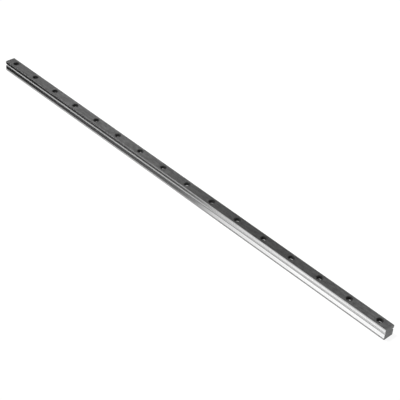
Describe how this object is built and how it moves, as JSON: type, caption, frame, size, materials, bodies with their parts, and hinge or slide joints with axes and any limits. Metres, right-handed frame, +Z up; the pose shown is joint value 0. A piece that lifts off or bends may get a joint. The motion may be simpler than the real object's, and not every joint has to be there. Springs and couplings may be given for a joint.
{
  "type": "linear guide rail",
  "caption": "Straight square-section linear guide rail with a ball raceway along each side and a row of counterbored screw holes down its top face.",
  "frame": {"origin": "middle of the base face, half way along the rail", "axes": "+X along the rail, +Y across it, +Z up out of the counterbored top face"},
  "size_m": [0.94, 0.02, 0.02],
  "materials": {
    "rail_steel": "satin"
  },
  "bodies": {
    "root": {"guide_rail": "rail_steel"}
  },
  "joints": []
}
